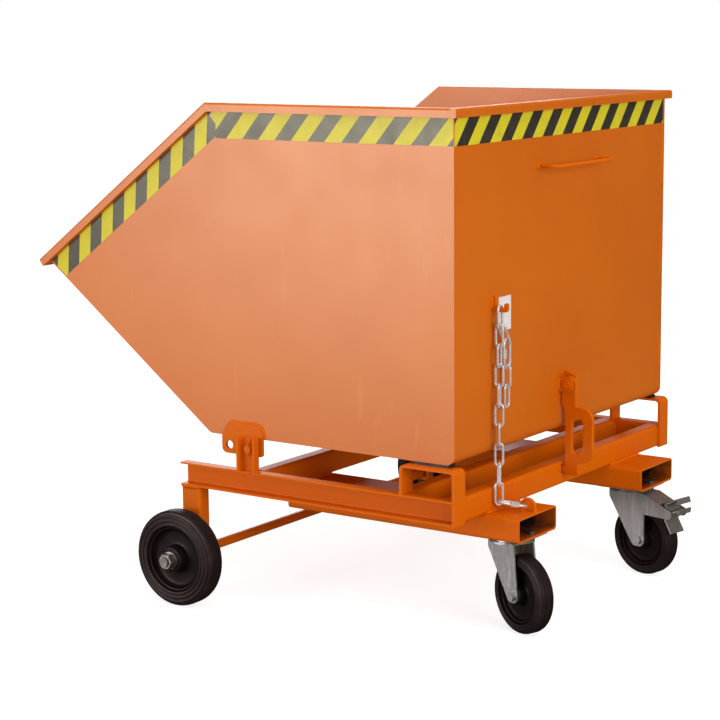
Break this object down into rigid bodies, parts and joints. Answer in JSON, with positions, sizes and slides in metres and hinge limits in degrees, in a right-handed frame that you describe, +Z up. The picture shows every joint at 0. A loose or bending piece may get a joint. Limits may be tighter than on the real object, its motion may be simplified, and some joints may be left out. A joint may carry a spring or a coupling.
{
  "type": "tipping skip trolley",
  "caption": "Hand-pushed sheet-steel skip that tips forward over a channel frame with fork pockets, fixed front wheels, swivel castors, a hand catch and a safety chain.",
  "frame": {"origin": "on the floor, under the middle of the trolley's box", "axes": "+Z up, +X towards the push handle and castors, -X towards the pouring lip, -Y the side with the chain"},
  "size_m": [1.237, 1.1006, 1.052],
  "materials": {
    "paint": "semi-gloss orange powder coat",
    "zinc": "dull zinc plate",
    "bright_zinc": "bright zinc plate",
    "tyre": "solid black rubber",
    "wheel_rim": "moulded black",
    "pad": "black rubber",
    "label": "bare white plate"
  },
  "bodies": {
    "frame": {"side_beam_left": "paint", "side_beam_right": "paint", "front_cross_member": "paint", "middle_cross_member": "paint", "rear_cross_member": "paint", "pivot_post_left": "paint", "pivot_post_right": "paint", "rest_loop_left": "paint", "rest_loop_right": "paint", "rest_pads": "pad", "fork_tube_left": "paint", "fork_tube_right": "paint", "front_leg_left": "paint", "front_leg_right": "paint", "front_axle": "paint", "axle_spacers": "paint", "axle_washers": "zinc", "axle_nuts": "zinc", "chain_eye": "paint", "quick_link": "bright_zinc", "safety_chain": "bright_zinc", "castor_plate_left": "zinc", "castor_plate_right": "zinc", "castor_bolts": "zinc", "castor_kingpins": "zinc"},
    "skip": {"skip_shell": "paint", "skip_side_left": "paint", "skip_side_right": "paint", "rim_left": "paint", "rim_right": "paint", "rim_rear": "paint", "rim_lip": "paint", "push_handle": "paint", "blank_label": "label", "chain_hook": "paint", "trunnion_plate_left": "paint", "trunnion_plate_right": "paint", "pivot_pins": "paint", "pivot_split_pins": "paint", "catch_lugs": "paint", "catch_pin": "paint", "catch_split_pin": "paint"},
    "lever": {"catch_lever": "paint"},
    "front_wheel_left": {"front_tyre_left": "tyre", "front_rim_left": "wheel_rim", "front_bush_left": "bright_zinc"},
    "front_wheel_right": {"front_tyre_right": "tyre", "front_rim_right": "wheel_rim", "front_bush_right": "bright_zinc"},
    "castor_left": {"castor_fork_left": "zinc", "castor_axle_left": "zinc"},
    "castor_right": {"castor_fork_right": "zinc", "castor_axle_right": "zinc", "brake_pin": "zinc"},
    "castor_wheel_left": {"castor_tyre_left": "tyre", "castor_rim_left": "wheel_rim"},
    "castor_wheel_right": {"castor_tyre_right": "tyre", "castor_rim_right": "wheel_rim"},
    "brake": {"brake_pedal": "zinc"}
  },
  "joints": [
    {"name": "skip_tip", "type": "hinge", "parent": "frame", "child": "skip", "pos_m": [-0.04382, 0, 0.345], "axis": [0, -1, 0], "range_deg": [0, 28], "deforming": ["safety_chain"]},
    {"name": "catch_swing", "type": "hinge", "parent": "skip", "child": "lever", "pos_m": [0.46618, -0.02, 0.463], "axis": [0, -1, 0], "range_deg": [-2.2, 40]},
    {"name": "front_spin_left", "type": "hinge", "parent": "frame", "child": "front_wheel_left", "pos_m": [-0.20082, -0.497, 0.102], "axis": [0, 1, 0], "continuous": true},
    {"name": "front_spin_right", "type": "hinge", "parent": "frame", "child": "front_wheel_right", "pos_m": [-0.20082, 0.497, 0.102], "axis": [0, 1, 0], "continuous": true},
    {"name": "swivel_left", "type": "hinge", "parent": "frame", "child": "castor_left", "pos_m": [0.46618, -0.261, 0.19], "axis": [0, 0, 1], "continuous": true},
    {"name": "swivel_right", "type": "hinge", "parent": "frame", "child": "castor_right", "pos_m": [0.46618, 0.261, 0.19], "axis": [0, 0, 1], "continuous": true},
    {"name": "castor_spin_left", "type": "hinge", "parent": "castor_left", "child": "castor_wheel_left", "pos_m": [0.50791, -0.27786, 0.08], "axis": [0.3746, 0.9272, 0], "continuous": true},
    {"name": "castor_spin_right", "type": "hinge", "parent": "castor_right", "child": "castor_wheel_right", "pos_m": [0.5102, 0.25164, 0.08], "axis": [0.2079, 0.9781, 0], "continuous": true},
    {"name": "brake_press", "type": "hinge", "parent": "castor_right", "child": "brake", "pos_m": [0.58845, 0.23501, 0.149], "axis": [0.2079, 0.9781, 0], "range_deg": [0, 9]}
  ]
}
